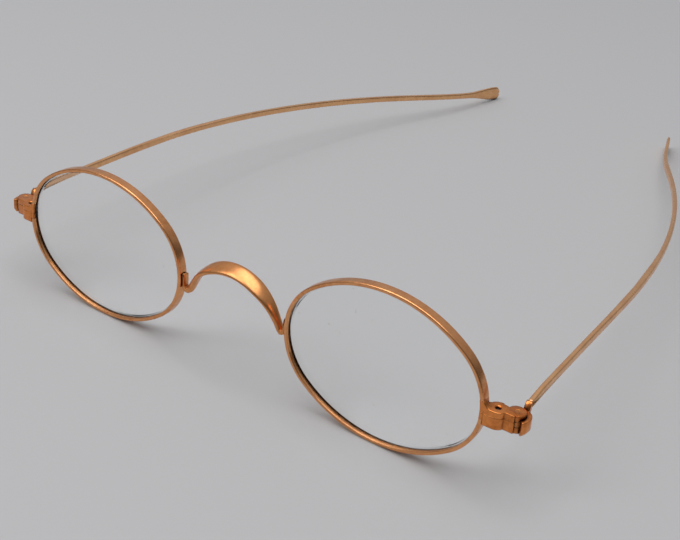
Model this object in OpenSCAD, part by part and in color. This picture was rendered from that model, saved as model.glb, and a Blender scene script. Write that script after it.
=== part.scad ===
// Wire-rim eyeglasses: oval glass lenses, a saddle bridge and straight folding temples.
// Every piece is drawn in the frame of the front: X to the side, Y back towards the temple
// tips, Z up in the plane of the lenses, with the origin midway between the lens centres.
// place() then leans the front back and stands rims and temple tips on the table, z = 0.
// The right-hand pieces are drawn, and the left-hand ones are their mirror images.

/* [Lenses] */
// Width of the opening that the rim leaves for the lens
opening_w = 36.3; // [34:0.1:42]
// Height of the opening that the rim leaves for the lens
opening_h = 27; // [25:0.5:31]
// Radius of the two round ends of the oval
oval_end_r = 11; // [9:0.25:12]
// Thickness of the lens at its edge, at the two ends of the oval
lens_edge_t = 0.9; // [0.7:0.05:1.1]
// Radius of both curved faces of the lens
lens_face_r = 1500; // [400:50:2000]
// How far the bevelled edge of the lens stands into the rim's groove
bevel_h = 0.3; // [0.2:0.02:0.34]
// Width of the bevel where it leaves the edge of the lens
bevel_w = 0.7; // [0.5:0.05:0.8]

/* [Rims] */
// Thickness of the rim, measured outwards from the lens
rim_wall = 0.67; // [0.6:0.01:0.9]
// Depth of the rim from front to back
rim_depth = 1.9; // [1.7:0.05:2.4]
// Rounding of the rim's two outer edges
rim_round = 0.25; // [0.15:0.05:0.3]
// How far behind the rim's middle its groove lies
groove_back = 0.25; // [0:0.05:0.3]

/* [Bridge] */
// Gap between the two rims at the nose
bridge_gap = 22.7; // [18:0.1:28]
// Height of the saddle's middle above the lens centres
saddle_rise = 5.9; // [4:0.1:9]
// How far the saddle stands in front of the middle of the rims
saddle_forward = 0.2; // [0:0.05:1]
// Width of the flattened saddle
saddle_w = 3; // [2:0.1:4]
// Thickness of the flattened saddle
saddle_t = 1; // [0.8:0.05:1.4]
// Forward tilt of the saddle at its middle
saddle_tilt = 31; // [0:1:45]
// Angle of the legs below the horizontal
leg_angle = 62.5; // [50:0.5:70]
// Thickness of the wire at the foot, before it turns up
foot_t = 1.15; // [0.9:0.05:1.25]
// Width of the wire at the foot, before it turns up
foot_w = 1.6; // [1.2:0.05:1.8]
// Radius of the turn at the foot, along the middle of the wire
foot_bend_r = 0.68; // [0.65:0.01:0.9]
// Depth of the centre of that turn below the lens centres
foot_drop = 1.1; // [0.6:0.1:2]
// Height of the top of the strap above the lens centres
strap_top = 1.25; // [0.6:0.05:2]
// Thickness of the strap that lies along the rim
strap_t = 0.5; // [0.4:0.05:0.6]
// Width of the strap that lies along the rim
strap_w = 1.4; // [1.1:0.05:1.6]
// How far behind the middle of the rim the strap lies
strap_back = 0.2; // [0:0.05:0.2]

// How far behind the middle of the rim the foot lies
foot_back = 0.3; // [0:0.05:0.4]

/* [End pieces] */
// Height of the top of the end piece above the lens centres
upper_h = 1.45; // [1.3:0.05:1.7]
// Depth of the underside of the end piece below the lens centres
lower_h = 1.6; // [1.5:0.05:1.8]
// Height of the split line above the lens centres
split_z = 0.4; // [0.3:0.05:0.45]
// Radius of the boss round the closing screw
boss_r = 1.55; // [1.4:0.05:1.7]
// Distance of the closing screw outside the rim
screw_out = 1.56; // [1.4:0.02:1.6]
// Distance of the closing screw behind the middle of the rim
screw_back = 0.6; // [0.6:0.05:0.8]
// Radius of the closing screw's shank
screw_r = 0.4; // [0.35:0.01:0.45]
// Radius of the closing screw's countersunk head
screw_head_r = 0.75; // [0.6:0.05:0.85]
// Depth of the screw's end below the top of its hole
screw_sunk = 0.35; // [0.25:0.05:0.5]
// Radius of the countersink round the end of the screw
sink_r = 0.6; // [0.5:0.02:0.7]
// Front face of the shoulder, behind the middle of the rim
shoulder_back = 0.05; // [0:0.01:0.1]
// Back edge of the neck between boss and knuckle
neck_back = 2.2; // [2:0.05:2.3]
// Height of the joint between the rim's upper end and the end piece
rim_stop_up = 2.4; // [2:0.05:2.8]
// Depth of the joint between the rim's lower end and the end piece
rim_stop_down = 0.75; // [0.5:0.05:1]
// Length of the rib that runs from the rim down to the boss, along the front
rib_w = 0.78; // [0.6:0.02:0.9]
// Back face of that rib, behind the middle of the rim
rib_back = 0.1; // [0:0.02:0.15]
// How far the shoulder reaches outside the hinge pin
shoulder_out = 0.8; // [0.6:0.05:1]

/* [Hinges] */
// Distance of the hinge pin outside the closing screw
hinge_out = 2.71; // [2.69:0.02:3.01]
// Distance of the hinge pin behind the closing screw
hinge_back = 1.1; // [1.06:0.02:1.3]
// Radius of the knuckles on the end piece
knuckle_r = 1.42; // [1.3:0.02:1.5]
// Radius of the hinge pin
pin_r = 0.45; // [0.35:0.01:0.5]
// Running clearance between the hinge pin and the tongue
pin_gap = 0.03; // [0.02:0.01:0.06]
// Thickness of the tongue between the knuckles
tongue_h = 0.9; // [0.7:0.05:1]
// Clearance above and below the tongue
tongue_gap = 0.04; // [0.03:0.01:0.06]
// Clearance between the knuckles and the temple block that turns round them
block_gap = 0.08; // [0.06:0.01:0.1]
// Thickness of the temple block outside the knuckles
block_wall = 0.8; // [0.7:0.05:0.9]
// Width of the chamfer under the temple block
chamfer_w = 0.4; // [0.2:0.05:0.6]
// Height of the chamfer under the temple block
chamfer_h = 0.65; // [0.4:0.05:0.9]
// How far the joint's heel reaches behind the temple block
heel_out = 0.5; // [0.4:0.05:0.8]
// Drop of the temple block's top from the top of the end piece
block_drop = 0.7; // [0.6:0.05:0.8]
// Depth of the temple block's underside below that of the end piece
block_low = 0.15; // [0.05:0.05:0.2]
// Direction of the block's front end, from straight outwards
block_front_a = -43; // [-46:1:-40]
// Direction of the block's back end, from straight outwards
block_back_a = 85; // [80:1:86]
// Direction of the shoulder that stops the temple from opening further
shoulder_a = -77; // [-80:1:-75]
// Direction of the neck that stops the temple from folding further
neck_a = 172; // [168:1:176]
// Inward lean of the left hinge pin, which sets how deep the left temple lies when folded
pin_lean_left = 0.5; // [0.3:0.1:0.8]
// Inward lean of the right hinge pin, so that the right temple folds below the left one
pin_lean_right = 2.5; // [2.3:0.1:3]

/* [Temples] */
// Thickness of the temple wire, from side to side
wire_t = 1; // [0.8:0.05:1.1]
// Height of the temple wire
wire_h = 1.4; // [1.2:0.05:1.6]
// Length of each temple, from its joint to its tip
temple_len = 143.3; // [135:0.5:155]
// Inward direction of the temple where it leaves its joint
temple_toe_in = 1; // [0:0.25:3]
// Length of the straight stretch behind the joint
straight_len = 34; // [20:1:50]
// Length of the long inward bend
bend_len = 79; // [60:1:85]
// Angle of the long inward bend
bend_angle = 24.7; // [10:0.5:28]
// Length of the straight stretch behind the long bend
flat_len = 6.5; // [3:0.5:10]
// Length of the short bend that turns the tip back
flare_len = 13; // [9:1:16]
// Angle of the short bend that turns the tip back
flare_angle = 9; // [0:0.5:14]
// Rise of the wire just behind the joint
neck_rise = 0.55; // [0.3:0.05:0.8]
// Length over which the wire makes that rise
neck_rise_len = 5; // [4:0.5:8]
// Slow rise of the wire after that
wire_rise = 0.75; // [0:0.05:1.2]
// Length over which the wire makes the slow rise
wire_rise_len = 30; // [20:1:40]
// Distance behind the joint where the wire begins to drop towards the table
drop_start = 37; // [25:1:50]
// Height of the flattened paddle at the tip
paddle_h = 3.6; // [2.5:0.1:4]
// Thickness of the flattened paddle at the tip
paddle_t = 0.8; // [0.6:0.05:0.9]
// Length over which the wire widens into the paddle
paddle_len = 12; // [8:1:18]
// Length of the rounded end of the paddle
paddle_round = 1.5; // [1:0.1:1.8]

/* [Stance] */
// Backward lean of the front when the eyeglasses stand on a table
stance_lean = 3.5; // [3:0.1:4.5]

/* [Hidden] */
$fn = 96;

gold = [0.80, 0.52, 0.30];
dark_gold = [0.66, 0.40, 0.22];
steel = [0.45, 0.42, 0.46];
glass = [0.86, 0.90, 0.92, 0.35];

// Clearances, and how far a cutting body reaches past the face that it cuts
seat_gap = 0.01;
groove_gap = 0.05;
solder_gap = 0.02;
cut = 1;

// Fineness of turned bodies and of their small round edges, and steps in curved sections
turn_fn = 180;
edge_fn = 32;
face_steps = 12;

// The oval is four arcs: round ends of oval_end_r, flatter sides of oval_side_r
oval_a = opening_w / 2;
oval_b = opening_h / 2;
end_c = oval_a - oval_end_r;
oval_side_r = (oval_a^2 - 2 * oval_a * oval_end_r + oval_b^2) / (2 * (oval_b - oval_end_r));
side_c = oval_side_r - oval_b;
arc_a = atan2(side_c, end_c);

lens_x = bridge_gap / 2 + rim_wall + oval_a;
rim_out_x = lens_x + oval_a + rim_wall;
screw_x = rim_out_x + screw_out;
hinge_x = screw_x + hinge_out;
hinge_y = screw_back + hinge_back;

// Height of the middle of the end piece, where the tongue lies
tongue_mid = (upper_h - lower_h) / 2;
block_in = knuckle_r + block_gap;
block_out = block_in + block_wall;

// Unit directions and lowest and foremost points of the leant rims
lean_c = cos(stance_lean);
lean_s = sin(stance_lean);
corner_z = oval_b + rim_wall - rim_round;
corner_y = rim_depth / 2 - rim_round;
floor_z = -corner_y * lean_s - corner_z * lean_c - rim_round;
front_y = -corner_y * lean_c - corner_z * lean_s - rim_round;

function smooth(t) = let(c = max(0, min(1, t))) c * c * (3 - 2 * c);
function ramp(t) = max(0, min(1, t));
function unit(v) = v / norm(v);
function pinch(t, e) = sign(t) * pow(abs(t), e);

// Ring of points with rounded-off corners: w by h, in the two given directions
ring_n = 16;
corner_e = 0.55;
round_e = 0.85;
function ring(centre, across, up, w, h, e) = [
    for (j = [0 : ring_n - 1])
        let(a = 360 * (j + 0.5) / ring_n)
        centre + across * (w / 2 * pinch(cos(a), e)) + up * (h / 2 * pinch(sin(a), e))
];

// Closed skin over a row of rings
module skin(rings) {
    n = len(rings);
    points = [for (r = rings) each r];
    sides = [
        for (i = [0 : n - 2], j = [0 : ring_n - 1])
            let(a = i * ring_n + j, b = i * ring_n + (j + 1) % ring_n)
            each [[a, a + ring_n, b], [b, a + ring_n, b + ring_n]]
    ];
    first = [for (j = [0 : ring_n - 1]) j];
    last = [for (j = [ring_n - 1 : -1 : 0]) (n - 1) * ring_n + j];
    polyhedron(points, concat([first, last], sides));
}

// Leans the front back and moves the middle of the footprint to the origin
module place() {
    translate([0, -(front_y + back_y) / 2, -floor_z])
        rotate([-stance_lean, 0, 0])
            children();
}

// Draws the right-hand piece, or its mirror image for the left
module side(is_left) {
    place()
        if (is_left) {
            mirror([1, 0, 0]) children();
        } else {
            children();
        }
}

// A solid whose outline is the oval. Its half section is the child, drawn with x outwards from
// the edge of the opening and y towards the front. The axis lies at x = -$reach; the child may
// start before it, because turned() keeps only what lies beyond.
module oval_solid() {
    far = 2 * opening_w;
    translate([lens_x, 0, 0])
        rotate([90, 0, 0]) {
            for (e = [-1, 1])
                translate([e * end_c, 0, 0])
                    turned(oval_end_r)
                        children();
            intersection() {
                translate([0, -side_c, 0]) turned(oval_side_r) children();
                translate([0, side_c, 0]) turned(oval_side_r) children();
                linear_extrude(4 * rim_depth, center = true)
                    polygon([
                        [end_c, 0],
                        [end_c + far * cos(arc_a), far * sin(arc_a)],
                        [-end_c - far * cos(arc_a), far * sin(arc_a)],
                        [-end_c, 0],
                        [-end_c - far * cos(arc_a), -far * sin(arc_a)],
                        [end_c + far * cos(arc_a), -far * sin(arc_a)]
                    ]);
            }
        }
}

module turned(r) {
    $reach = r;
    rotate_extrude($fn = turn_fn)
        intersection() {
            translate([r, 0])
                children();
            translate([0, -2 * rim_depth])
                square([r + 2 * rim_depth, 4 * rim_depth]);
        }
}

// Half section of the outside of the rim, with its two rounded edges
module rim_outside() {
    translate([-$reach - cut, -rim_depth / 2])
        square([$reach + cut + rim_wall - rim_round, rim_depth]);
    translate([-$reach - cut, -corner_y])
        square([$reach + cut + rim_wall, 2 * corner_y]);
    for (s = [-1, 1])
        translate([rim_wall - rim_round, s * corner_y])
            circle(rim_round, $fn = edge_fn);
}

// Half section of a plate of the given half thickness with a bevelled edge: the lens, or the
// opening and groove that hold it. The bevel lies behind the rim's middle.
module bevelled(half_t, edge, bevel, half_w) {
    polygon([
        [-$reach - cut, -groove_back - half_t],
        [edge, -groove_back - half_t],
        [edge, -groove_back - half_w],
        [edge + bevel, -groove_back],
        [edge, half_w - groove_back],
        [edge, half_t - groove_back],
        [-$reach - cut, half_t - groove_back]
    ]);
}

// Rim wire, open at its outer end, where the end piece joins its two ends
module rim(is_left) {
    color(gold)
        side(is_left)
            difference() {
                oval_solid() rim_outside();
                oval_solid() bevelled(rim_depth, 0, bevel_h, bevel_w / 2 + groove_gap);
                rim_end_box(-rim_stop_down, rim_stop_up);
            }
}

// Box over the outer end of the rim, between two heights
module rim_end_box(z0, z1) {
    translate([rim_out_x - rim_wall - cut, -rim_depth, z0])
        cube([rim_wall + 2 * cut, 2 * rim_depth, z1 - z0]);
}

// Section of the lens blank, from its axis outwards, with its two curved faces in short steps
function face_sag(r) = lens_face_r - sqrt(lens_face_r^2 - r^2);
module blank_section() {
    reach = oval_a + cut;
    half_t = lens_edge_t / 2 + face_sag(oval_a - groove_gap);
    face = [
        for (i = [0 : face_steps])
            let(r = reach * i / face_steps)
            [r, half_t - face_sag(r)]
    ];
    back = [for (i = [face_steps : -1 : 0]) [face[i].x, -face[i].y]];
    polygon(concat(face, back));
}

module lens(is_left) {
    color(glass)
        side(is_left)
            intersection() {
                translate([lens_x, groove_back, 0])
                    rotate([90, 0, 0])
                        rotate_extrude($fn = turn_fn)
                            blank_section();
                oval_solid() bevelled(rim_depth, -groove_gap, bevel_h, bevel_w / 2);
            }
}

// Frame of the hinge: its origin is in the pin, at the split line, and Z runs along the pin
module hinge_frame(is_left) {
    translate([hinge_x, hinge_y, 0])
        rotate([0, is_left ? -pin_lean_left : -pin_lean_right, 0])
            children();
}

// Outline of both halves of the end piece, seen from above, without the knuckle
module end_outline() {
    rim_mid_x = rim_out_x - rim_wall / 2;
    shoulder_x = hinge_x + shoulder_out;
    translate([screw_x, screw_back])
        circle(boss_r);
    polygon([
        [rim_mid_x, -corner_y],
        [rim_out_x, -rim_depth / 2],
        [screw_x, screw_back - boss_r],
        [screw_x, neck_back],
        [rim_mid_x, rim_depth / 2]
    ]);
    polygon([
        [screw_x, shoulder_back],
        [shoulder_x, shoulder_back],
        [shoulder_x, hinge_y],
        [hinge_x, hinge_y],
        [screw_x, neck_back]
    ]);
}

// Room that the tongue and the temple block need as they turn
module turning_room() {
    translate([0, 0, tongue_mid - tongue_h / 2 - tongue_gap])
        cylinder(r = knuckle_r + block_gap / 2, h = tongue_h + 2 * tongue_gap);
    translate([0, 0, -lower_h - cut])
        rotate_extrude(angle = neck_a - shoulder_a, start = shoulder_a)
            translate([knuckle_r - block_gap, 0])
                square([block_wall + 4 * block_gap, upper_h + lower_h + 2 * cut]);
}

module end_piece(is_left, is_upper) {
    z0 = is_upper ? split_z : -lower_h;
    z1 = is_upper ? upper_h : split_z;
    color(gold)
        side(is_left)
            difference() {
                union() {
                    difference() {
                        translate([0, 0, z0])
                            linear_extrude(z1 - z0)
                                end_outline();
                        hinge_frame(is_left)
                            turning_room();
                    }
                    intersection() {
                        hinge_frame(is_left)
                            difference() {
                                translate([0, 0, -lower_h - cut])
                                    cylinder(r = knuckle_r, h = upper_h + lower_h + 2 * cut);
                                translate([0, 0, tongue_mid - tongue_h / 2 - tongue_gap])
                                    cylinder(r = 2 * knuckle_r, h = tongue_h + 2 * tongue_gap);
                            }
                        translate([hinge_x - boss_r, hinge_y - boss_r, z0])
                            cube([2 * boss_r, 2 * boss_r, z1 - z0]);
                    }
                    intersection() {
                        outer_end() rim_outside();
                        rim_end_box(is_upper ? split_z : -rim_stop_down, is_upper ? rim_stop_up : split_z);
                    }
                    if (is_upper)
                        rib();
                }
                hinge_frame(is_left)
                    translate([0, 0, -lower_h - cut])
                        cylinder(r = pin_r + seat_gap, h = upper_h + lower_h + 2 * cut);
                translate([screw_x, screw_back, 0])
                    screw_room(is_upper);
                outer_end() bevelled(rim_depth, 0, bevel_h, bevel_w / 2 + groove_gap);
                if (!is_upper)
                    rim_room();
            }
}

// Room for the lower end of the rim, where the boss bulges towards it
module rim_room() {
    intersection() {
        outer_end()
            translate([-$reach / 2, -rim_depth / 2])
                square([$reach / 2 + rim_wall, rim_depth]);
        rim_end_box(-lower_h - cut, -rim_stop_down);
    }
}

// Rib of the upper half that runs down from the rim in a hollow sweep, along the front
module rib() {
    outer_r = oval_end_r + rim_wall;
    rim_sag = outer_r - sqrt(outer_r^2 - rim_stop_up^2);
    rib_h = rim_stop_up - upper_h;
    translate([rim_out_x, rib_back, 0])
        rotate([90, 0, 0])
            linear_extrude(rib_back + rim_depth / 2)
                polygon([
                    [-rim_wall / 2, (upper_h + split_z) / 2],
                    [rib_w, (upper_h + split_z) / 2],
                    [rib_w, upper_h],
                    [rib_w / 2, upper_h + rib_h / 6],
                    [rib_w / 6, upper_h + rib_h / 2],
                    [-rim_sag, rim_stop_up],
                    [-rim_wall / 2, rim_stop_up]
                ]);
}

// A solid turned about the centre of the oval's outer round end only
module outer_end() {
    translate([lens_x + end_c, 0, 0])
        rotate([90, 0, 0])
            turned(oval_end_r)
                children();
}

// Hole for the closing screw: its head sits below, and its end stays sunk in the top
module screw_room(is_upper) {
    head_h = screw_head_r - screw_r;
    sink_h = sink_r - screw_r;
    if (is_upper) {
        translate([0, 0, split_z - cut])
            cylinder(r = screw_r + seat_gap, h = upper_h - split_z + 2 * cut);
        translate([0, 0, upper_h - sink_h])
            cylinder(r1 = screw_r, r2 = sink_r, h = sink_h);
        translate([0, 0, upper_h])
            cylinder(r = sink_r, h = cut);
    } else {
        translate([0, 0, -lower_h - cut])
            cylinder(r = screw_r + seat_gap, h = lower_h + split_z + 2 * cut);
        translate([0, 0, -lower_h - cut])
            cylinder(r1 = screw_head_r + cut + seat_gap, r2 = screw_r + seat_gap, h = head_h + cut);
    }
}

module closing_screw(is_left) {
    head_h = screw_head_r - screw_r;
    slot_w = 0.25;
    slot_h = 0.2;
    color(steel)
        side(is_left)
            translate([screw_x, screw_back, -lower_h])
                difference() {
                    union() {
                        cylinder(r = screw_r, h = upper_h + lower_h - screw_sunk);
                        cylinder(r1 = screw_head_r, r2 = screw_r, h = head_h);
                    }
                    translate([-screw_head_r - cut, -slot_w / 2, -cut])
                        cube([2 * (screw_head_r + cut), slot_w, slot_h + cut]);
                }
}

// Pin riveted flush into the knuckles
module hinge_pin(is_left) {
    color(dark_gold)
        side(is_left)
            intersection() {
                hinge_frame(is_left)
                    translate([0, 0, -lower_h - cut])
                        cylinder(r = pin_r, h = upper_h + lower_h + 2 * cut);
                translate([hinge_x - boss_r, hinge_y - boss_r, -lower_h])
                    cube([2 * boss_r, 2 * boss_r, upper_h + lower_h]);
            }
}

// Section of the temple block and the root of its tongue, from the pin outwards
module block_section() {
    top = upper_h - block_drop;
    bottom = -lower_h - block_low;
    root = 2 * pin_r;
    t0 = tongue_mid - tongue_h / 2;
    t1 = tongue_mid + tongue_h / 2;
    polygon([
        [block_in, top],
        [block_out, top],
        [block_out, bottom + chamfer_h],
        [block_out - chamfer_w, bottom],
        [block_in, bottom],
        [block_in, t0],
        [root, t0],
        [root, t1],
        [block_in, t1]
    ]);
}

// Where the wire starts: the flat back face of the joint's heel
heel_y = hinge_y + block_out + heel_out;
heel_x = hinge_x + wire_t / 2;
heel_z = upper_h;

// Temple joint: tongue and block in one, with a heel that carries the wire
module temple_joint(is_left) {
    heel_front = hinge_y + (block_in + block_out) / 2;
    heel_low = -lower_h / 4;
    color(gold)
        side(is_left)
            difference() {
                union() {
                    hinge_frame(is_left) {
                        rotate_extrude(angle = block_back_a - block_front_a, start = block_front_a)
                            block_section();
                        translate([0, 0, tongue_mid - tongue_h / 2])
                            cylinder(r = knuckle_r, h = tongue_h);
                    }
                    translate([heel_x - wire_t / 2, 0, 0])
                        rotate([90, 0, 90])
                            linear_extrude(wire_t)
                                polygon([
                                    [heel_front, heel_low],
                                    [heel_y - wire_t / 2, heel_low],
                                    [heel_y, heel_z - wire_h / 2],
                                    [heel_y, heel_z + wire_h / 2],
                                    [heel_y - wire_t / 2, upper_h + wire_h / 8],
                                    [heel_front, upper_h - block_drop - wire_h / 8]
                                ]);
                }
                hinge_frame(is_left)
                    translate([0, 0, -lower_h - cut])
                        cylinder(r = pin_r + pin_gap, h = upper_h + lower_h + 2 * cut);
            }
}

// Direction of the wire at a distance s behind its joint, inwards from straight back
bend_end = straight_len + bend_len;
flare_start = bend_end + flat_len;
function toe(s) = temple_toe_in
    + bend_angle * ramp((s - straight_len) / bend_len)
    - flare_angle * ramp((s - flare_start) / flare_len);

// Path of the wire seen from above, in short steps, and its points in between
step = 1;
path_rows = [
    for (i = 0, p = [heel_x, heel_y]; i <= temple_len / step + 1;
        p = p + step * [-sin(toe((i + 0.5) * step)), cos(toe((i + 0.5) * step))], i = i + 1)
        [i * step, p.x, p.y]
];
path_x = [for (r = path_rows) [r[0], r[1]]];
path_y = [for (r = path_rows) [r[0], r[2]]];
function wire_x(s) = lookup(s, path_x);
function wire_y(s) = lookup(s, path_y);

// Height and thickness of the wire at s, with its paddle and the paddle's rounded end, which
// keeps a small flat at the very tip
round_power = 3;
tip_flat = 0.1;
function end_round(s) = let(t = ramp((s - temple_len + paddle_round) / paddle_round))
    sqrt(1 - (1 - tip_flat) * pow(t, round_power));
function paddle_share(s) = smooth((s - temple_len + paddle_len) / (paddle_len - paddle_round));
function tall(s) = (wire_h + (paddle_h - wire_h) * paddle_share(s)) * end_round(s);
function thick(s) = wire_t + (paddle_t - wire_t) * paddle_share(s);

// Height of the middle of the wire: two rises near the joint, then a long drop whose depth
// brings the lowest point of the paddle onto the table
drop_power = 1.5;
function drop_share(s) = pow(max(0, s - drop_start) / (temple_len - drop_start), drop_power);
function level(s) = heel_z
    + neck_rise * smooth(s / neck_rise_len)
    + wire_rise * smooth(s / wire_rise_len);
wire_step = 2 * step;
paddle_steps = 8;
round_steps = 6;
widening = paddle_len - paddle_round;
stations = concat(
    [0, step / 2, step],
    [for (s = [wire_step : wire_step : temple_len - paddle_len]) s],
    [for (i = [1 : paddle_steps]) temple_len - paddle_len + widening * i / paddle_steps],
    [for (i = [1 : round_steps]) temple_len - paddle_round * (1 - sin(90 * i / round_steps))]
);
wire_drop = min([
    for (s = stations)
        if (s > temple_len - paddle_len)
            (level(s) - tall(s) / 2 - (floor_z + wire_y(s) * lean_s) / lean_c) / drop_share(s)
]);

wire_rings = [
    for (s = stations)
        let(a = toe(s))
        ring(
            [wire_x(s), wire_y(s), level(s) - wire_drop * drop_share(s)],
            s == 0 ? [1, 0, 0] : [cos(a), sin(a), 0],
            [0, 0, 1],
            thick(s), tall(s), corner_e
        )
];
back_y = max([for (r = wire_rings, p = r) p.y * lean_c + p.z * lean_s]);

module temple(is_left) {
    color(gold)
        side(is_left)
            skin(wire_rings);
}

// Bridge: an arc over the nose, two straight legs, a tight turn at each foot, and a strap
// that lies along the rim. The arc's radius follows from the gap between the rims.
strap_x = bridge_gap / 2 - solder_gap - strap_t / 2;
turn_x = strap_x - foot_bend_r;
saddle_r = (turn_x * sin(leg_angle) - (foot_drop + saddle_rise) * cos(leg_angle) - foot_bend_r)
    / (1 - cos(leg_angle));
leg_top = [saddle_r * sin(leg_angle), saddle_rise - saddle_r * (1 - cos(leg_angle))];
leg_low = [
    turn_x - foot_bend_r * sin(leg_angle),
    -foot_drop - foot_bend_r * cos(leg_angle)
];
rim_end_x = lens_x - end_c;
strap_arc_r = rim_end_x - strap_x;

// Steps along the arc, the leg, the turn and the strap, and the steps of arc and turn over
// which the section doesn't change
arc_steps = 20;
leg_steps = 6;
turn_steps = 14;
strap_steps = 5;
arc_still = 8;
turn_still = 3;
half_path = concat(
    [for (i = [0 : arc_steps])
        let(a = leg_angle * i / arc_steps)
        [saddle_r * sin(a), saddle_rise - saddle_r * (1 - cos(a))]],
    [for (i = [1 : leg_steps]) leg_top + (leg_low - leg_top) * i / leg_steps],
    [for (i = [1 : turn_steps])
        let(a = (leg_angle + 90) * i / turn_steps - leg_angle)
        [turn_x + foot_bend_r * sin(a), -foot_drop - foot_bend_r * cos(a)]],
    [for (i = [1 : strap_steps])
        let(z = -foot_drop + (strap_top + foot_drop) * i / strap_steps)
        [rim_end_x - sqrt(strap_arc_r^2 - z^2), z]]
);
half_n = len(half_path);

// Share of the way from the middle of the saddle to the foot, and round the foot's turn
turn_i = arc_steps + leg_steps;
function leg_share(i) = smooth((i - arc_still) / (turn_i - arc_still));
function strap_share(i) = smooth((i - turn_i - turn_still) / (turn_steps - turn_still));
function blend3(a, b, c, i) = let(m = a + (b - a) * leg_share(i)) m + (c - m) * strap_share(i);
function bridge_point(i) = [
    half_path[i].x,
    blend3(-saddle_forward, foot_back, strap_back, i),
    half_path[i].y
];
function bridge_centre(k) = let(p = bridge_point(abs(k))) [k < 0 ? -p.x : p.x, p.y, p.z];
function bridge_dir(k) = unit(
    bridge_centre(min(k + 1, half_n - 1)) - bridge_centre(max(k - 1, 1 - half_n))
);
bridge_rings = [
    for (k = [1 - half_n : half_n - 1])
        let(
            i = abs(k),
            dir = bridge_dir(k),
            flat = unit([0, 1, 0] - dir * dir.y),
            up = cross(dir, flat),
            tilt = saddle_tilt * (1 - smooth(i / turn_i)),
            across = flat * cos(tilt) + up * sin(tilt)
        )
        ring(
            bridge_centre(k), across, cross(dir, across),
            blend3(saddle_w, foot_w, strap_w, i),
            blend3(saddle_t, foot_t, strap_t, i),
            i > turn_i + turn_still ? corner_e : round_e
        )
];

module bridge() {
    color(gold)
        place()
            skin(bridge_rings);
}

rim(false);  // rim_right
rim(true);  // rim_left
lens(false);  // lens_right
lens(true);  // lens_left
bridge();
end_piece(false, true);  // end_piece_upper_right
end_piece(true, true);  // end_piece_upper_left
end_piece(false, false);  // end_piece_lower_right
end_piece(true, false);  // end_piece_lower_left
closing_screw(false);  // closing_screw_right
closing_screw(true);  // closing_screw_left
hinge_pin(false);  // hinge_pin_right
hinge_pin(true);  // hinge_pin_left
temple_joint(false);  // temple_joint_right
temple_joint(true);  // temple_joint_left
temple(false);  // temple_right
temple(true);  // temple_left
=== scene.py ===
# %% [markdown]
# # Dressing a pair of wire-rim eyeglasses
#
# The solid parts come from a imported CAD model: two oval rims with glass lenses, a saddle
# bridge, two-part end pieces with hinges, and two straight temples. In this lesson they get
# smooth wire, rounded edges, worn rose gold and clear glass, and a table to stand on.
#
# Everything is in metres, with the front at -Y, the temple tips at +Y and the table at z = 0.

import math

import bpy
from mathutils import Matrix, Vector


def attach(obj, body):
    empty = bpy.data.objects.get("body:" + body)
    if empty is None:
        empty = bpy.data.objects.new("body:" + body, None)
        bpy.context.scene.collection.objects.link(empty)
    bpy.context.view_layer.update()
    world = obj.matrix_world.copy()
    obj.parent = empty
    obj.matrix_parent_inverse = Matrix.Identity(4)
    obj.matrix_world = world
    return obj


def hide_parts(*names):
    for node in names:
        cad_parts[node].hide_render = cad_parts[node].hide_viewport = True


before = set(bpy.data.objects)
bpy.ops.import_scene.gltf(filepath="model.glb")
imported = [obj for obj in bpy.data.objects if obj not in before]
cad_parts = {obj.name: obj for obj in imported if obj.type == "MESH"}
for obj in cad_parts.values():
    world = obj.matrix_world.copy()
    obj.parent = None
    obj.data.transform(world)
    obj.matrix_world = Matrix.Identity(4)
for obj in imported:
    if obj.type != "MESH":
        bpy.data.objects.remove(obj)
scene = bpy.context.scene
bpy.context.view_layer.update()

# %% [markdown]
# ## Helpers for working in edit mode
#
# An operator acts on everything that is selected, so each step starts by deselecting all and
# picking one object. Faces, edges and points are picked by where they are.

# %% Pick one object, and pick parts of its mesh by place
MM = 0.001


def pick(piece):
    if bpy.context.object and bpy.context.object.mode == "EDIT":
        bpy.ops.object.mode_set(mode="OBJECT")
    bpy.ops.object.select_all(action="DESELECT")
    piece.select_set(True)
    bpy.context.view_layer.objects.active = piece


def edit_all(piece):
    pick(piece)
    bpy.ops.object.mode_set(mode="EDIT")
    bpy.ops.mesh.select_all(action="SELECT")


def edit_points(piece, wanted):
    """Opens the piece in edit mode, with only those points selected that the test wants."""
    edit_all(piece)
    bpy.ops.mesh.select_mode(type="VERT")
    bpy.ops.mesh.select_all(action="DESELECT")
    bpy.ops.object.mode_set(mode="OBJECT")
    for point in piece.data.vertices:
        point.select = wanted(point.co)
    bpy.ops.object.mode_set(mode="EDIT")


def leave_edit():
    bpy.ops.object.mode_set(mode="OBJECT")


def count(piece):
    return f"{piece.name}: {len(piece.data.polygons)} faces"


print("one millimetre is", MM, "metres")

# %% [markdown]
# ## The camera
#
# The eyeglasses are seen from the front, to the right and above, through a fairly long lens:
# the far rim is hardly smaller than the near one. The place and the lens were worked out from
# the two ovals of the rims and the run of the temples.

# %% Set the camera up
camera_place = (0.10628, -0.198939, 0.120839)
camera_turn = (59.04959, -2.79777, 35.16238)  # degrees
focal_length, film_width = 61.276, 36  # both in mm
bpy.ops.object.camera_add(location=camera_place)
camera = bpy.context.object
camera.name = "camera"
camera.rotation_euler = [math.radians(a) for a in camera_turn]
camera.data.sensor_width = film_width
camera.data.lens = focal_length
camera.data.clip_start = 0.01
scene.camera = camera
print("camera lens:", camera.data.lens, "mm")

# %% [markdown]
# ## Table and light
#
# The table is a pale grey sheet that fills the picture. A soft lamp above gives the highlight
# on the saddle and the faint shadows, and a smaller one at the front left draws a thin light
# line along the upper arcs of the rims. Metal shows what surrounds it, so the world is
# brighter above and at the back left than at the sides: that gives the wire its light and
# dark bands. Camera, metal and glass all see the same room.

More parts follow.
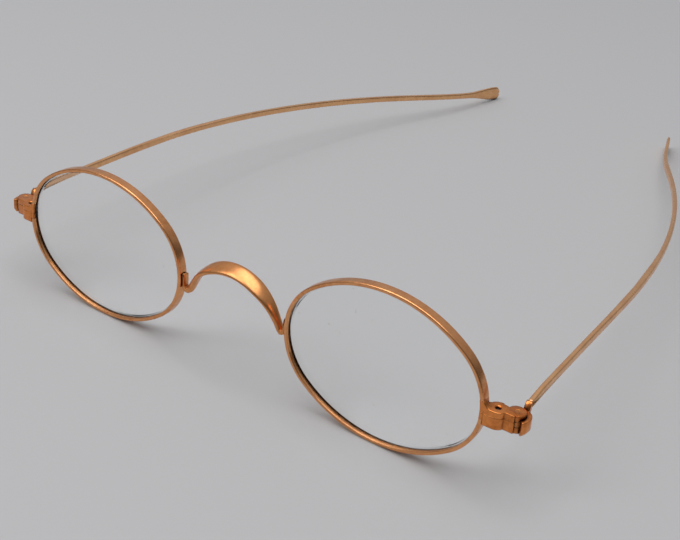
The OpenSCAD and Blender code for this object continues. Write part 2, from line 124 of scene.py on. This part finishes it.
# %% Helpers for materials and their nodes
def new_material(name):
    material = bpy.data.materials.new(name)
    material.use_nodes = True
    return material, material.node_tree.nodes, material.node_tree.links


def set_inputs(node, values):
    """Sets sockets by name; a colour of three numbers gets its alpha of 1."""
    for name, value in values.items():
        is_colour = node.inputs[name].type == "RGBA"
        node.inputs[name].default_value = (*value, 1) if is_colour else value


def add_node(nodes, kind, values=None):
    node = nodes.new(kind)
    set_inputs(node, values or {})
    return node


def add_maths(nodes, operation):
    node = nodes.new("ShaderNodeMath")
    node.operation = operation
    return node


def add_colour_mix(nodes):
    node = nodes.new("ShaderNodeMix")
    node.data_type = "RGBA"
    return node


print("node helpers ready")

# %% The table's paper
table_grey, table_size = (0.53, 0.53, 0.537), 6
paper, nodes, links = new_material("pale_paper")
set_inputs(nodes["Principled BSDF"], {
    "Base Color": table_grey, "Roughness": 0.75, "Specular IOR Level": 0.25,
})

bpy.ops.mesh.primitive_plane_add(size=table_size)
table = bpy.context.object
table.name = "table_top"
table.data.materials.append(paper)
print("table colour:", table_grey)

# %% World and lamps
brightest_way = Vector((-0.35, 0.35, 0.87)).normalized()
room_strength = 0.95
# How far a direction faces the brightest one, from -1 to 1, and the tone that is seen there
room_tones = ((0.12, (0.12, 0.12, 0.12)), (0.35, (0.30, 0.30, 0.30)), (0.95, (0.58, 0.58, 0.60)))

room = bpy.data.worlds.new("room")
scene.world = room
room.use_nodes = True
nodes, links = room.node_tree.nodes, room.node_tree.links
where = nodes.new("ShaderNodeTexCoord")
facing = nodes.new("ShaderNodeVectorMath")
facing.operation = "DOT_PRODUCT"
facing.inputs[1].default_value = brightest_way
tone = nodes.new("ShaderNodeValToRGB")
steps = tone.color_ramp.elements
steps.new(0.5)
for step, (position, colour) in zip(steps, room_tones):
    step.position, step.color = position, (*colour, 1)
links.new(where.outputs["Generated"], facing.inputs[0])
links.new(facing.outputs["Value"], tone.inputs["Fac"])
links.new(tone.outputs["Color"], nodes["Background"].inputs["Color"])
nodes["Background"].inputs["Strength"].default_value = room_strength


def soft_lamp(name, place, size, watts, aim=(0, 0, 0.01)):
    bpy.ops.object.light_add(type="AREA", location=place)
    lamp = bpy.context.object
    lamp.name = name
    lamp.data.size = size
    lamp.data.energy = watts
    lamp.rotation_euler = (Vector(aim) - Vector(place)).to_track_quat("-Z", "Y").to_euler()
    return lamp


top_lamp = soft_lamp("top_lamp", (-0.02, -0.15, 0.8), 0.7, 3.3)
window_lamp = soft_lamp("window_lamp", (-0.45, -0.6, 0.65), 0.4, 1.5)
scene.view_settings.view_transform = "Standard"
print("lamps:", top_lamp.name, window_lamp.name)

# %% [markdown]
# ## Worn rose gold
#
# The frame is gold-filled wire: a warm copper-coloured gold with duller, browner patches and fine
# scratches. Narrow, closed-in places get painted shade: their colour turns a near-black, dirt-like
# brown. All the gold pieces share one node group that makes the changing colour, roughness and
# fine relief, and each material feeds it its own tones. The material also tells the group how open
# each place is, and the group paints shade where a place is closed in.

# %% The node group for worn gold: its sockets
worn = bpy.data.node_groups.new("worn_gold", "ShaderNodeTree")
for name, kind, in_out in (
    ("Vector", "NodeSocketVector", "INPUT"),
    ("Clean", "NodeSocketColor", "INPUT"),
    ("Tarnished", "NodeSocketColor", "INPUT"),
    ("Tarnish", "NodeSocketFloat", "INPUT"),
    ("Polish", "NodeSocketFloat", "INPUT"),
    ("Dull", "NodeSocketFloat", "INPUT"),
    ("Open", "NodeSocketFloat", "INPUT"),
    ("Color", "NodeSocketColor", "OUTPUT"),
    ("Roughness", "NodeSocketFloat", "OUTPUT"),
    ("Height", "NodeSocketFloat", "OUTPUT"),
):
    worn.interface.new_socket(name=name, in_out=in_out, socket_type=kind)
nodes, links = worn.nodes, worn.links
entry = nodes.new("NodeGroupInput")
result = nodes.new("NodeGroupOutput")
print("node group:", worn.name, len(worn.interface.items_tree), "sockets")

# %% Patches and specks of tarnish
patches = add_node(nodes, "ShaderNodeTexNoise", {"Scale": 220, "Detail": 4, "Roughness": 0.6})
specks = add_node(nodes, "ShaderNodeTexNoise", {"Scale": 1200, "Detail": 3, "Roughness": 0.65})
both = add_maths(nodes, "MULTIPLY")
for index, noise in enumerate((patches, specks)):
    links.new(entry.outputs["Vector"], noise.inputs["Vector"])
    links.new(noise.outputs["Fac"], both.inputs[index])
spread = add_node(nodes, "ShaderNodeMapRange", {"From Min": 0.14, "From Max": 0.40})
share = add_maths(nodes, "MULTIPLY")
links.new(both.outputs[0], spread.inputs["Value"])
links.new(spread.outputs["Result"], share.inputs[0])
links.new(entry.outputs["Tarnish"], share.inputs[1])

tarnish_mix = add_colour_mix(nodes)
links.new(share.outputs[0], tarnish_mix.inputs["Factor"])
links.new(entry.outputs["Clean"], tarnish_mix.inputs["A"])
links.new(entry.outputs["Tarnished"], tarnish_mix.inputs["B"])
rough = nodes.new("ShaderNodeMix")
links.new(share.outputs[0], rough.inputs["Factor"])
links.new(entry.outputs["Polish"], rough.inputs["A"])
links.new(entry.outputs["Dull"], rough.inputs["B"])
links.new(rough.outputs["Result"], result.inputs["Roughness"])
print("tarnish: patches and specks, blended by", tarnish_mix.name)

# %% Painted shade in narrow places, and fine scratches
# painted shade: in closed-in places the colour turns to this near-black brown
recess_shade_tone = (0.02, 0.008, 0.004)
openness = add_node(nodes, "ShaderNodeMapRange", {"From Min": 0.52, "From Max": 0.92})
recess_shade_mix = add_colour_mix(nodes)
recess_shade_mix.inputs["A"].default_value = (*recess_shade_tone, 1)
links.new(entry.outputs["Open"], openness.inputs["Value"])
links.new(openness.outputs["Result"], recess_shade_mix.inputs["Factor"])
links.new(tarnish_mix.outputs["Result"], recess_shade_mix.inputs["B"])
links.new(recess_shade_mix.outputs["Result"], result.inputs["Color"])

stretch = add_node(nodes, "ShaderNodeMapping", {
    "Scale": (1, 0.12, 1), "Rotation": (0.3, 0.2, 0.4),
})
scratches = add_node(nodes, "ShaderNodeTexNoise", {"Scale": 1500, "Detail": 2, "Roughness": 0.5})
links.new(entry.outputs["Vector"], stretch.inputs["Vector"])
links.new(stretch.outputs["Vector"], scratches.inputs["Vector"])
links.new(scratches.outputs["Fac"], result.inputs["Height"])
print("node group:", worn.name, len(nodes), "nodes")

# %% [markdown]
# A gold material has a clean tone and a tarnished one, the share of tarnish, the roughness of
# each, and how far the painted shade reaches out of a corner. On the filed pieces the shader also
# rounds the edges, so that they catch the light.

# %% Materials made with it
scratch_depth, scratch_strength, tries_per_point = 0.006 * MM, 0.2, 8
edge_shine = 0.2 * MM


def gold(name, clean, tarnished, tarnish, polish, dull, recess_shade_reach=1.2 * MM):
    material, nodes, links = new_material(name)
    shader = nodes["Principled BSDF"]
    shader.inputs["Metallic"].default_value = 1
    place = nodes.new("ShaderNodeTexCoord")
    group = nodes.new("ShaderNodeGroup")
    group.node_tree = worn
    set_inputs(group, {
        "Clean": clean, "Tarnished": tarnished, "Tarnish": tarnish, "Polish": polish, "Dull": dull,
    })
    # ambient occlusion finds the closed-in places, where the group paints shade into the colour
    nearness = add_node(nodes, "ShaderNodeAmbientOcclusion", {"Distance": recess_shade_reach})
    nearness.samples = tries_per_point
    bump = add_node(nodes, "ShaderNodeBump", {
        "Strength": scratch_strength, "Distance": scratch_depth,
    })
    links.new(nearness.outputs["AO"], group.inputs["Open"])
    links.new(place.outputs["Object"], group.inputs["Vector"])
    links.new(group.outputs["Color"], shader.inputs["Base Color"])
    links.new(group.outputs["Roughness"], shader.inputs["Roughness"])
    links.new(group.outputs["Height"], bump.inputs["Height"])
    links.new(bump.outputs["Normal"], shader.inputs["Normal"])
    return material


def shine_along_edges(material):
    nodes, links = material.node_tree.nodes, material.node_tree.links
    soft_edge = add_node(nodes, "ShaderNodeBevel", {"Radius": edge_shine})
    soft_edge.samples = tries_per_point
    links.new(soft_edge.outputs["Normal"], nodes["Bump"].inputs["Normal"])


rim_gold = gold(
    "rim_gold_wire", (0.84, 0.40, 0.175), (0.56, 0.21, 0.07), 0.65, 0.2, 0.34, 0.12 * MM,
)
bridge_gold = gold(
    "bridge_gold_wire", (0.80, 0.36, 0.14), (0.50, 0.16, 0.04), 0.5, 0.28, 0.36, 0.5 * MM,
)
end_gold = gold(
    "end_piece_gold", (0.84, 0.30, 0.085), (0.42, 0.10, 0.018), 0.7, 0.2, 0.34, 1.5 * MM,
)
joint_gold = gold(
    "temple_joint_gold", (0.86, 0.33, 0.10), (0.46, 0.12, 0.025), 0.65, 0.2, 0.34, 1.5 * MM,
)
temple_gold = gold("temple_gold_wire", (0.88, 0.50, 0.25), (0.64, 0.30, 0.13), 0.55, 0.26, 0.36)
pin_gold = gold("hinge_pin_gold", (0.78, 0.32, 0.11), (0.48, 0.16, 0.04), 0.65, 0.26, 0.4)
screw_metal = gold("screw_steel_dull", (0.20, 0.15, 0.14), (0.07, 0.045, 0.04), 0.9, 0.32, 0.5)
for material in (end_gold, joint_gold):
    shine_along_edges(material)
print("gold materials:", rim_gold.name, bridge_gold.name, end_gold.name, temple_gold.name)

# %% [markdown]
# ## Clear glass
#
# The lenses are thin glass that hardly changes what is behind them, with faint smudges and a
# few grains of dust. Real glass lets most of the light through to the table, so for shadow
# rays the material is simply transparent, with a trace of grey.

# %% The lens material
clean_glass, dusty_glass, shadow_tint = (0.985, 0.99, 0.99), (0.72, 0.7, 0.66), (0.93, 0.935, 0.94)
lens_glass, nodes, links = new_material("lens_glass_clear")
shader = nodes["Principled BSDF"]
set_inputs(shader, {"IOR": 1.5, "Transmission Weight": 1})
place = nodes.new("ShaderNodeTexCoord")

smudges = add_node(nodes, "ShaderNodeTexNoise", {"Scale": 90, "Detail": 5})
smears = add_node(nodes, "ShaderNodeMapRange", {"From Min": 0.5, "From Max": 0.75, "To Max": 0.12})
links.new(place.outputs["Object"], smudges.inputs["Vector"])
links.new(smudges.outputs["Fac"], smears.inputs["Value"])
links.new(smears.outputs["Result"], shader.inputs["Roughness"])

dust = add_node(nodes, "ShaderNodeTexNoise", {"Scale": 1400, "Detail": 1})
grains = add_node(nodes, "ShaderNodeMapRange", {"From Min": 0.76, "From Max": 0.8})
glass_tone = add_colour_mix(nodes)
glass_tone.inputs["A"].default_value = (*clean_glass, 1)
glass_tone.inputs["B"].default_value = (*dusty_glass, 1)
links.new(place.outputs["Object"], dust.inputs["Vector"])
links.new(dust.outputs["Fac"], grains.inputs["Value"])
links.new(grains.outputs["Result"], glass_tone.inputs["Factor"])
links.new(glass_tone.outputs["Result"], shader.inputs["Base Color"])

clear = add_node(nodes, "ShaderNodeBsdfTransparent", {"Color": shadow_tint})
rays = nodes.new("ShaderNodeLightPath")
pass_light = nodes.new("ShaderNodeMixShader")
links.new(rays.outputs["Is Shadow Ray"], pass_light.inputs["Fac"])
links.new(shader.outputs["BSDF"], pass_light.inputs[1])
links.new(clear.outputs["BSDF"], pass_light.inputs[2])
links.new(pass_light.outputs["Shader"], nodes["Material Output"].inputs["Surface"])
print("glass:", lens_glass.name)

# %% [markdown]
# ## Smooth copies of CAD pieces
#
# The long wires and the small hinge pieces already have the right shape, but a CAD mesh is a
# bag of loose triangles with knife-sharp edges. A copy is merged, its flat faces are joined
# again, and then it is either subdivided, for the drawn wires, or bevelled, for the stamped
# and filed pieces. Every real edge is a little round, and that is where metal shines.

# %% Make a merged copy of a node, and hand a finished piece over
weld, flat_angle = 0.002 * MM, math.radians(0.5)


def merged_copy(node, name):
    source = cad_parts[node]
    piece = bpy.data.objects.new(name, source.data.copy())
    piece.data.name = name
    scene.collection.objects.link(piece)
    pick(piece)
    bpy.ops.mesh.customdata_custom_splitnormals_clear()
    edit_all(piece)
    bpy.ops.mesh.remove_doubles(threshold=weld)
    bpy.ops.mesh.dissolve_limited(angle_limit=flat_angle)
    leave_edit()
    return piece


def finish_piece(piece, node, body, material):
    piece.data.materials.clear()
    piece.data.materials.append(material)
    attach(piece, body)
    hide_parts(node)
    print(count(piece))


print("copies are welded at", weld, "m")

# %% The drawn wires: bridge and temples
quad_angle, wire_smooth = math.radians(40), math.radians(50)


def drawn_wire(node, name):
    piece = merged_copy(node, name)
    edit_all(piece)
    bpy.ops.mesh.tris_convert_to_quads(face_threshold=quad_angle, shape_threshold=quad_angle)
    leave_edit()
    pick(piece)
    smooth = piece.modifiers.new("rounder", "SUBSURF")
    smooth.levels = smooth.render_levels = 1
    bpy.ops.object.modifier_apply(modifier=smooth.name)
    bpy.ops.object.shade_smooth_by_angle(angle=wire_smooth)
    return piece


finish_piece(drawn_wire("bridge", "bridge_wire"), "bridge", "front", bridge_gold)
for side in ("right", "left"):
    wire = drawn_wire("temple_" + side, "temple_wire_" + side)
    finish_piece(wire, "temple_" + side, "temple_" + side, temple_gold)

# %% The filed pieces: end pieces and temple joints
edge_round, sharp_angle, filed_smooth = 0.07 * MM, math.radians(35), math.radians(40)


def filed_piece(node, name):
    piece = merged_copy(node, name)
    rounding = piece.modifiers.new("filed_edges", "BEVEL")
    rounding.width = edge_round
    rounding.segments = 2
    rounding.limit_method = "ANGLE"
    rounding.angle_limit = sharp_angle
    pick(piece)
    bpy.ops.object.modifier_apply(modifier=rounding.name)
    bpy.ops.object.shade_smooth_by_angle(angle=filed_smooth)
    return piece


for side in ("right", "left"):
    for half in ("upper", "lower"):
        node = f"end_piece_{half}_{side}"
        piece = filed_piece(node, f"{half}_half_{side}")
        finish_piece(piece, node, "front", end_gold)
    node = "temple_joint_" + side
    piece = filed_piece(node, "joint_" + side)
    finish_piece(piece, node, "temple_" + side, joint_gold)

# %% Screws and pins keep their CAD shape
for side in ("right", "left"):
    for node, material in (("closing_screw_", screw_metal), ("hinge_pin_", pin_gold)):
        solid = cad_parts[node + side]
        solid.data.materials.clear()
        solid.data.materials.append(material)
print("screws and pins dressed")

# %% [markdown]
# ## The rims
#
# A rim is one length of wire with a groove on the inside for the lens. Its oval is made of
# four arcs, two round ends and two flatter sides, so it is modelled as a wire bender would
# bend it: the section is drawn once, flat across the wire at the outer end of the oval, and
# spun round the centre of each arc in turn.

# %% Sizes of the oval and the wire, in metres
opening_w, opening_h, end_r = 36.3 * MM, 27 * MM, 11 * MM
wall, depth, outer_round, inner_round = 0.67 * MM, 1.9 * MM, 0.25 * MM, 0.14 * MM
bridge_gap, groove_back = 22.7 * MM, 0.25 * MM
groove_h, groove_half = 0.3 * MM, 0.4 * MM
oval_a, oval_b = opening_w / 2, opening_h / 2
end_c = oval_a - end_r
side_r = (oval_a**2 - 2 * oval_a * end_r + oval_b**2) / (2 * (oval_b - end_r))
side_c = side_r - oval_b
end_arc = 2 * math.atan2(side_c, end_c)
side_arc = math.pi - end_arc
lens_x = bridge_gap / 2 + wall + oval_a
edge_x = lens_x + oval_a
print("arcs:", round(math.degrees(end_arc), 2), round(math.degrees(side_arc), 2), "degrees")

# %% Draw a section, and spin it round the four arcs
def draw_section(name, inner, outer, front, back):
    """A flat sheet across the wire at the outer end of the oval, inner and outer from its edge."""
    middle = (edge_x + (inner + outer) / 2, (front + back) / 2, 0)
    bpy.ops.object.select_all(action="DESELECT")
    bpy.ops.mesh.primitive_plane_add(size=1, location=middle)
    section = bpy.context.object
    section.name = section.data.name = name
    section.scale = (outer - inner, back - front, 1)
    bpy.ops.object.transform_apply(location=True, rotation=True, scale=True)
    return section


def bend_side(section, x, places):
    """Cuts the side of the section at x, and moves its new points to the given places."""
    near = 0.01 * MM
    edit_points(section, lambda p: abs(p.x - x) < near)
    bpy.ops.mesh.subdivide(number_cuts=len(places))
    leave_edit()
    side_points = [v for v in section.data.vertices if abs(v.co.x - x) < near]
    side_points.sort(key=lambda v: v.co.y)
    for point, (out, back) in zip(side_points[1:-1], places):
        point.co = (x + out, back, 0)


end_steps, side_steps = 40, 36


def spin_round_oval(piece):
    edit_all(piece)
    for angle, steps, x, z in (
        (end_arc / 2, end_steps // 2, lens_x + end_c, 0),
        (side_arc, side_steps, lens_x, -side_c),
        (end_arc, end_steps, lens_x - end_c, 0),
        (side_arc, side_steps, lens_x, side_c),
        (end_arc / 2, end_steps // 2, lens_x + end_c, 0),
    ):
        bpy.ops.mesh.spin(steps=steps, angle=angle, center=(x, 0, z), axis=(0, 1, 0))
    edit_all(piece)
    bpy.ops.mesh.remove_doubles(threshold=weld / 2)
    bpy.ops.mesh.normals_make_consistent(inside=False)
    leave_edit()


print("steps round the oval:", 2 * (end_steps + side_steps))

# %% Bend the rim's wire
ring = draw_section("rim_wire_right", 0, wall, -depth / 2, depth / 2)
bend_side(ring, edge_x, (
    (0, groove_back - groove_half), (groove_h, groove_back), (0, groove_back + groove_half),
))
edit_points(ring, lambda p: p.x > edge_x + groove_h + outer_round / 4)
bpy.ops.mesh.bevel(affect="VERTICES", offset=outer_round, segments=6)
edit_points(ring, lambda p: p.x < edge_x + inner_round and abs(p.y) > depth / 2 - inner_round / 2)
bpy.ops.mesh.bevel(affect="VERTICES", offset=inner_round, segments=4)
edit_all(ring)
bpy.ops.mesh.delete(type="ONLY_FACE")
spin_round_oval(ring)
print(count(ring), "reach", [round(c / MM, 2) for c in ring.dimensions])

# %% [markdown]
# The wire isn't closed on itself: at the outer end it leaves room for the two halves of the
# end piece. The gap is cut with a box, and then the rim is leant back with the rest of the
# front and copied to the other side.

# %% Cut the gap, lean the rim back, and mirror it
def cut_box(piece, low, high):
    bpy.ops.object.select_all(action="DESELECT")
    middle = [(a + b) / 2 for a, b in zip(low, high)]
    bpy.ops.mesh.primitive_cube_add(size=1, location=middle)
    box = bpy.context.object
    box.scale = [b - a for a, b in zip(low, high)]
    bpy.ops.object.transform_apply(location=True, rotation=True, scale=True)
    saw = piece.modifiers.new("saw", "BOOLEAN")
    saw.operation = "DIFFERENCE"
    saw.object = box
    saw.solver = "EXACT"
    pick(piece)
    bpy.ops.object.modifier_apply(modifier=saw.name)
    bpy.data.objects.remove(box)


gap_up, gap_down = 2.4 * MM, 0.75 * MM
saw_in, saw_out = 1 * MM, 2 * MM  # both reach well past the wire
cut_box(ring, (edge_x - saw_in, -saw_out, -gap_down), (edge_x + saw_out, saw_out, gap_up))
lean, front_y, front_z = math.radians(3.5), -70.4518 * MM, 14.18677 * MM
stand = Matrix.Translation((0, front_y, front_z)) @ Matrix.Rotation(-lean, 4, "X")


def lean_back(piece):
    piece.data.transform(stand)


def mirror_image(piece, name):
    other = bpy.data.objects.new(name, piece.data.copy())
    other.data.name = name
    scene.collection.objects.link(other)
    other.scale = (-1, 1, 1)
    pick(other)
    bpy.ops.object.transform_apply(location=True, rotation=True, scale=True)
    edit_all(other)
    bpy.ops.mesh.normals_make_consistent(inside=False)
    leave_edit()
    return other


rim_smooth = math.radians(35)
lean_back(ring)
for piece, node in ((ring, "rim_right"), (mirror_image(ring, "rim_wire_left"), "rim_left")):
    pick(piece)
    bpy.ops.object.shade_smooth_by_angle(angle=rim_smooth)
    finish_piece(piece, node, "front", rim_gold)

# %% [markdown]
# ## The lenses
#
# A lens is a thin oval of glass with a V-shaped bevel that sits in the rim's groove, and a
# small chamfer on both corners. Those two edges matter more than the faces: they bend the
# light so much that they show as a thin dark line inside the gold. The edge is spun like the
# rim, and each face is closed with loops that shrink towards the middle. Then every point of
# the faces is set on the curve of the glass.

# %% Spin the edge of the glass
lens_half_t, lens_gap, face_r, chamfer = 0.45 * MM, 0.05 * MM, 1500 * MM, 0.18 * MM
bevel_half, band_in = 0.35 * MM, 1.0 * MM
face_back = (bevel_half + lens_half_t) / 2  # this far from the middle, a point is on a face


def oval_reach(p):
    """How far a point lies outside the opening's oval; negative inside."""
    x, z = abs(p.x - lens_x), abs(p.z)
    if math.atan2(z, x - end_c) < end_arc / 2:
        return math.hypot(x - end_c, z) - end_r
    return math.hypot(x, z + side_c) - side_r


def sag(r):
    return face_r - math.sqrt(face_r**2 - r**2)


glass = draw_section(
    "lens_glass_right", -band_in, -lens_gap, groove_back - lens_half_t, groove_back + lens_half_t,
)
bend_side(glass, edge_x - lens_gap, (
    (0, groove_back - bevel_half), (groove_h, groove_back), (0, groove_back + bevel_half),
))
edit_points(glass, lambda p: p.x < edge_x - band_in / 2)
bpy.ops.mesh.select_mode(type="EDGE")
bpy.ops.mesh.delete(type="EDGE")
spin_round_oval(glass)
middle_t = lens_half_t + sag(oval_a - lens_gap)
print(count(glass), "before its faces; half thickness", round(middle_t / MM, 3), "mm")

# %% Close both faces with shrinking loops, and curve them
loop_scales = (0.9, 0.86, 0.8, 0.72, 0.62, 0.5, 0.36, 0.2)
for face in (-1, 1):
    edit_points(glass, lambda p: (
        face * (p.y - groove_back) > bevel_half and oval_reach(p) < -band_in / 2
    ))
    for scale in loop_scales:
        bpy.ops.mesh.extrude_region()
        bpy.ops.transform.resize(value=(scale, 1, scale), center_override=(lens_x, 0, 0))
    bpy.ops.mesh.edge_face_add()
    leave_edit()
for point in glass.data.vertices:
    away = point.co.y - groove_back
    if abs(away) > face_back:
        r = math.hypot(point.co.x - lens_x, point.co.z)
        point.co.y = groove_back + math.copysign(middle_t - sag(r), away)
edit_points(glass, lambda p: (
    abs(oval_reach(p) + lens_gap) < lens_gap / 2 and abs(p.y - groove_back) > face_back
))
bpy.ops.mesh.select_mode(type="EDGE")
bpy.ops.mesh.bevel(offset=chamfer, segments=1)
edit_all(glass)
bpy.ops.mesh.normals_make_consistent(inside=False)
leave_edit()
lens_smooth = math.radians(15)
lean_back(glass)
for piece, node in ((glass, "lens_right"), (mirror_image(glass, "lens_glass_left"), "lens_left")):
    pick(piece)
    bpy.ops.object.shade_smooth_by_angle(angle=lens_smooth)
    finish_piece(piece, node, "front", lens_glass)
